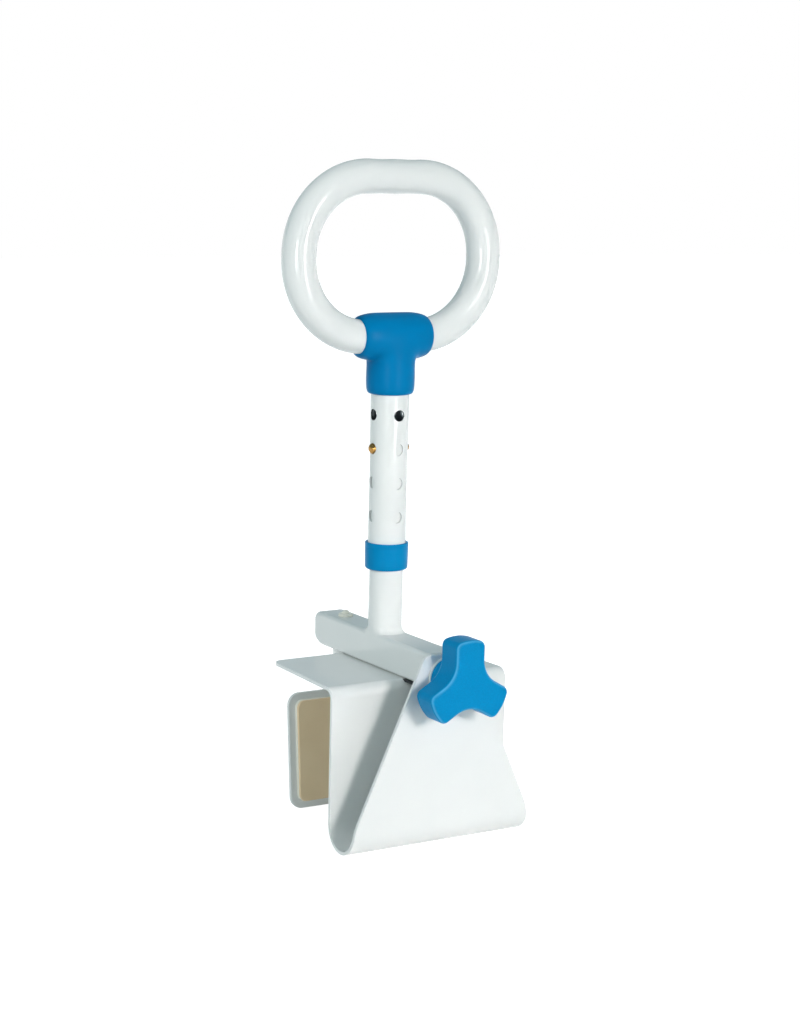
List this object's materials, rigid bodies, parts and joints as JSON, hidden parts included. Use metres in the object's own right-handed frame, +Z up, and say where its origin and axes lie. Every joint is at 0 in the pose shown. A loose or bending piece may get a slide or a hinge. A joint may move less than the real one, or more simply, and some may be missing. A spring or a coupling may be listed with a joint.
{
  "type": "bath safety rail",
  "caption": "Clamp-on bath rail: bent-steel rim bracket with screw knob and padded jaw, telescoping post with snap buttons, and an oval grip ring.",
  "frame": {"origin": "where the post's axis meets the plane of the tub's rim, which is the underside of the bracket's flange", "axes": "+Z up the post; +X along the tub's rim; -Y towards the knob, so +Y runs across the tub's wall from the knob to the jaw"},
  "size_m": [0.184, 0.2098, 0.4975],
  "materials": {
    "white_powder_coat": "glossy white powder coat",
    "painted_weld": "weld bead under the white powder coat",
    "white_plastic": "moulded white plastic",
    "blue_plastic": "semi-matt moulded blue plastic",
    "cream_plastic": "cream moulded plastic",
    "tan_rubber": "tan rubber pad with a fine grain",
    "grey_rubber": "grey rubber pad with a fine grain",
    "black_nylon": "black nylon",
    "brass": "worn brass",
    "zinc_steel": "zinc-plated steel",
    "spring_steel": "bare spring steel"
  },
  "bodies": {
    "clamp_frame": {"cross_beam": "white_powder_coat", "beam_end_cap": "white_plastic", "threaded_block": "zinc_steel", "inner_post": "white_powder_coat", "post_weld_front": "painted_weld", "post_weld_rear": "painted_weld", "snap_spring": "spring_steel", "jaw_stem": "white_powder_coat", "stem_insert": "zinc_steel", "jaw_bolt": "zinc_steel", "jaw_plate": "white_powder_coat", "jaw_weld_left": "painted_weld", "jaw_weld_right": "painted_weld", "jaw_pad": "tan_rubber", "beam_hole_plug": "cream_plastic"},
    "bracket": {"bracket_sheet": "white_powder_coat", "bracket_pad": "grey_rubber", "guide_shoe": "black_nylon", "thrust_washer": "white_plastic", "screw_retainer": "zinc_steel"},
    "knob": {"knob_body": "blue_plastic", "clamp_screw": "zinc_steel"},
    "collar": {"collar": "blue_plastic"},
    "handle": {"outer_tube": "white_powder_coat", "ring_tube": "white_powder_coat", "ring_spigot": "zinc_steel", "tee_weld": "painted_weld", "tee_joint": "blue_plastic"},
    "button_left": {"button_left": "brass"},
    "button_right": {"button_right": "brass"}
  },
  "joints": [
    {"name": "clamp_slide", "type": "slide", "parent": "clamp_frame", "child": "bracket", "axis": [0, -1, 0], "range_m": [0, 0.063]},
    {"name": "knob_turn", "type": "hinge", "parent": "bracket", "child": "knob", "pos_m": [0, -0.09, 0.011], "axis": [0, -1, 0], "range_deg": [0, 7560]},
    {"name": "height_slide", "type": "slide", "parent": "clamp_frame", "child": "collar", "axis": [0, 0, 1], "range_m": [-0.0254, 0.0508], "deforming": ["snap_spring", "button_left", "button_right"]},
    {"name": "handle_turn", "type": "hinge", "parent": "collar", "child": "handle", "pos_m": [0, 0, 0.0787], "axis": [0, 0, 1], "continuous": true, "deforming": ["snap_spring", "button_left", "button_right"]},
    {"name": "button_left_press", "type": "slide", "parent": "clamp_frame", "child": "button_left", "axis": [1, 0, 0], "range_m": [0, 0.0045], "stiffness_N_per_m": 900, "deforming": ["snap_spring"]},
    {"name": "button_right_press", "type": "slide", "parent": "clamp_frame", "child": "button_right", "axis": [-1, 0, 0], "range_m": [0, 0.0045], "stiffness_N_per_m": 900, "deforming": ["snap_spring"]}
  ],
  "couplings": [
    {"joint": "knob_turn", "follows": "clamp_slide", "rad_per_m": 2094.4}
  ]
}
